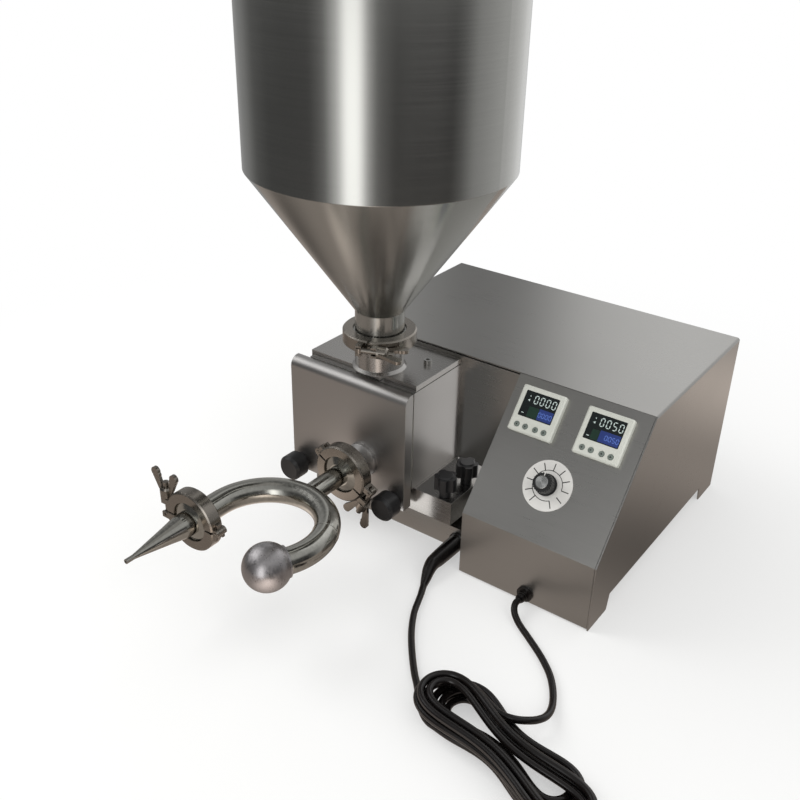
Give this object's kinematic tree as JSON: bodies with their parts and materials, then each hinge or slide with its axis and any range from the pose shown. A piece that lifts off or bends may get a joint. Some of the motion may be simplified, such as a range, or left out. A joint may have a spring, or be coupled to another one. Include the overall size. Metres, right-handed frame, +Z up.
{
  "type": "donut filler machine",
  "caption": "Table-top donut filler: gear pump under a conical hopper, forked outlet with a clamped nozzle, and a sloped control console.",
  "frame": {"origin": "bottom centre of the machine without its free cords, on the surface it stands on", "axes": "+X to the right, +Y to the back, +Z up, seen from the side of the nozzle"},
  "size_m": [0.55, 0.7194, 0.569],
  "materials": {
    "stainless_sheet": "brushed stainless steel sheet",
    "stainless_block": "machined stainless steel",
    "polished_steel": "polished stainless steel",
    "cap_steel": "satin steel cap",
    "clamp_steel": "polished clamp castings",
    "fasteners": "bright screws",
    "shaft_steel": "ground steel",
    "bronze": "sintered bronze",
    "silicone": "food-grade silicone",
    "cream_plastic": "moulded plastic cases",
    "window": "dark display windows",
    "key_plastic": "grey key caps",
    "dial_white": "printed plastic dial plate",
    "pot_metal": "zinc-plated can",
    "black_plastic": "black moulded plastic",
    "grey_plastic": "dark grey moulded plastic",
    "rocker_red": "red rocker",
    "board": "circuit board and its parts",
    "motor_paint": "painted gear motor",
    "cord_black": "black flexible sheath"
  },
  "bodies": {
    "machine": {"cabinet_shell": "stainless_sheet", "front_panel": "stainless_sheet", "console_panel": "stainless_sheet", "rear_panel": "stainless_sheet", "base_pan": "stainless_sheet", "panel_screws": "fasteners", "counter_left": "cream_plastic", "counter_right": "cream_plastic", "counter_windows": "window", "dial_plate": "dial_white", "speed_pot": "pot_metal", "rocker_frame": "black_plastic", "control_board": "board", "gearmotor": "motor_paint", "motor_bracket": "stainless_sheet", "shaft_bearings": "bronze", "seals": "silicone", "pump_housing": "stainless_block", "front_cover": "stainless_block", "top_plate": "stainless_block", "pump_base": "stainless_block", "hopper": "polished_steel", "hopper_clamp": "clamp_steel", "outlet_clamp": "clamp_steel", "nozzle_clamp": "clamp_steel", "manifold": "polished_steel", "nozzle": "polished_steel", "end_cap": "cap_steel", "cord_glands": "cord_black", "power_cord": "cord_black", "power_hank": "cord_black", "power_plug": "cord_black", "pedal_cord": "cord_black", "pedal_hank": "cord_black", "pedal_base": "black_plastic"},
    "key_left_1": {"key_left_1": "key_plastic"},
    "key_left_2": {"key_left_2": "key_plastic"},
    "key_left_3": {"key_left_3": "key_plastic"},
    "key_left_4": {"key_left_4": "key_plastic"},
    "key_right_1": {"key_right_1": "key_plastic"},
    "key_right_2": {"key_right_2": "key_plastic"},
    "key_right_3": {"key_right_3": "key_plastic"},
    "key_right_4": {"key_right_4": "key_plastic"},
    "speed_knob": {"speed_knob": "black_plastic"},
    "rocker_switch": {"rocker_switch": "rocker_red"},
    "drive_rotor": {"drive_shaft": "shaft_steel", "drive_rotor": "shaft_steel", "coupling": "shaft_steel"},
    "driven_rotor": {"driven_rotor": "shaft_steel"},
    "hopper_clamp_bolt": {"hopper_clamp_bolt": "clamp_steel"},
    "hopper_clamp_nut": {"hopper_clamp_nut": "clamp_steel"},
    "outlet_clamp_bolt": {"outlet_clamp_bolt": "clamp_steel"},
    "outlet_clamp_nut": {"outlet_clamp_nut": "clamp_steel"},
    "nozzle_clamp_bolt": {"nozzle_clamp_bolt": "clamp_steel"},
    "nozzle_clamp_nut": {"nozzle_clamp_nut": "clamp_steel"},
    "cover_knob_left": {"cover_knob_left": "black_plastic"},
    "cover_knob_right": {"cover_knob_right": "black_plastic"},
    "base_knob_front": {"base_knob_front": "black_plastic"},
    "base_knob_rear": {"base_knob_rear": "black_plastic"},
    "pedal_treadle": {"pedal_treadle": "grey_plastic"}
  },
  "joints": [
    {"name": "key_left_1_press", "type": "slide", "parent": "machine", "child": "key_left_1", "axis": [0, 0.7706, -0.6373], "range_m": [0, 0.0006], "stiffness_N_per_m": 400, "springref_m": -0.0006},
    {"name": "key_left_2_press", "type": "slide", "parent": "machine", "child": "key_left_2", "axis": [0, 0.7706, -0.6373], "range_m": [0, 0.0006], "stiffness_N_per_m": 400, "springref_m": -0.0006},
    {"name": "key_left_3_press", "type": "slide", "parent": "machine", "child": "key_left_3", "axis": [0, 0.7706, -0.6373], "range_m": [0, 0.0006], "stiffness_N_per_m": 400, "springref_m": -0.0006},
    {"name": "key_left_4_press", "type": "slide", "parent": "machine", "child": "key_left_4", "axis": [0, 0.7706, -0.6373], "range_m": [0, 0.0006], "stiffness_N_per_m": 400, "springref_m": -0.0006},
    {"name": "key_right_1_press", "type": "slide", "parent": "machine", "child": "key_right_1", "axis": [0, 0.7706, -0.6373], "range_m": [0, 0.0006], "stiffness_N_per_m": 400, "springref_m": -0.0006},
    {"name": "key_right_2_press", "type": "slide", "parent": "machine", "child": "key_right_2", "axis": [0, 0.7706, -0.6373], "range_m": [0, 0.0006], "stiffness_N_per_m": 400, "springref_m": -0.0006},
    {"name": "key_right_3_press", "type": "slide", "parent": "machine", "child": "key_right_3", "axis": [0, 0.7706, -0.6373], "range_m": [0, 0.0006], "stiffness_N_per_m": 400, "springref_m": -0.0006},
    {"name": "key_right_4_press", "type": "slide", "parent": "machine", "child": "key_right_4", "axis": [0, 0.7706, -0.6373], "range_m": [0, 0.0006], "stiffness_N_per_m": 400, "springref_m": -0.0006},
    {"name": "speed_turn", "type": "hinge", "parent": "machine", "child": "speed_knob", "pos_m": [0.1301, 0.0068, 0.11779], "axis": [0, -0.7706, 0.6373], "range_deg": [-135, 135]},
    {"name": "rocker_tip", "type": "hinge", "parent": "machine", "child": "rocker_switch", "pos_m": [0.1595, 0.287, 0.046], "axis": [1, 0, 0], "range_deg": [-12, 0]},
    {"name": "drive_spin", "type": "hinge", "parent": "machine", "child": "drive_rotor", "pos_m": [-0.0535, 0.0063, 0.12], "axis": [0, 1, 0], "continuous": true},
    {"name": "driven_spin", "type": "hinge", "parent": "machine", "child": "driven_rotor", "pos_m": [-0.0935, 0.0063, 0.12], "axis": [0, 1, 0], "continuous": true},
    {"name": "hopper_clamp_bolt_swing", "type": "hinge", "parent": "machine", "child": "hopper_clamp_bolt", "pos_m": [-0.06617, -0.03952, 0.222], "axis": [0, 0, -1], "range_deg": [0, 70]},
    {"name": "hopper_clamp_nut_turn", "type": "hinge", "parent": "hopper_clamp_bolt", "child": "hopper_clamp_nut", "pos_m": [-0.04738, -0.03268, 0.222], "axis": [0.9397, 0.342, 0], "continuous": true},
    {"name": "outlet_clamp_bolt_swing", "type": "hinge", "parent": "machine", "child": "outlet_clamp_bolt", "pos_m": [-0.03238, -0.062, 0.07986], "axis": [0, -1, 0], "range_deg": [0, 70]},
    {"name": "outlet_clamp_nut_turn", "type": "hinge", "parent": "outlet_clamp_bolt", "child": "outlet_clamp_nut", "pos_m": [-0.04177, -0.062, 0.0622], "axis": [-0.4695, 0, -0.8829], "continuous": true},
    {"name": "nozzle_clamp_bolt_swing", "type": "hinge", "parent": "machine", "child": "nozzle_clamp_bolt", "pos_m": [-0.16515, -0.214, 0.082], "axis": [0, -1, 0], "range_deg": [0, 70]},
    {"name": "nozzle_clamp_nut_turn", "type": "hinge", "parent": "nozzle_clamp_bolt", "child": "nozzle_clamp_nut", "pos_m": [-0.16515, -0.214, 0.102], "axis": [0, 0, 1], "continuous": true},
    {"name": "cover_knob_left_turn", "type": "hinge", "parent": "machine", "child": "cover_knob_left", "pos_m": [-0.1536, -0.0305, 0.0555], "axis": [0, -1, 0], "continuous": true},
    {"name": "cover_knob_right_turn", "type": "hinge", "parent": "machine", "child": "cover_knob_right", "pos_m": [-0.0268, -0.0305, 0.0555], "axis": [0, -1, 0], "continuous": true},
    {"name": "base_knob_front_turn", "type": "hinge", "parent": "machine", "child": "base_knob_front", "pos_m": [0.0199, -0.0037, 0.066], "axis": [0, 0, 1], "continuous": true},
    {"name": "base_knob_rear_turn", "type": "hinge", "parent": "machine", "child": "base_knob_rear", "pos_m": [0.0235, 0.0307, 0.066], "axis": [0, 0, 1], "continuous": true},
    {"name": "treadle_press", "type": "hinge", "parent": "machine", "child": "pedal_treadle", "pos_m": [0.26279, -0.34335, 0.015], "axis": [0.9135, -0.4067, 0], "range_deg": [0, 7], "stiffness_Nm_per_rad": 1.2, "springref_deg": -11.46}
  ],
  "couplings": [
    {"joint": "driven_spin", "follows": "drive_spin", "ratio": -1}
  ]
}
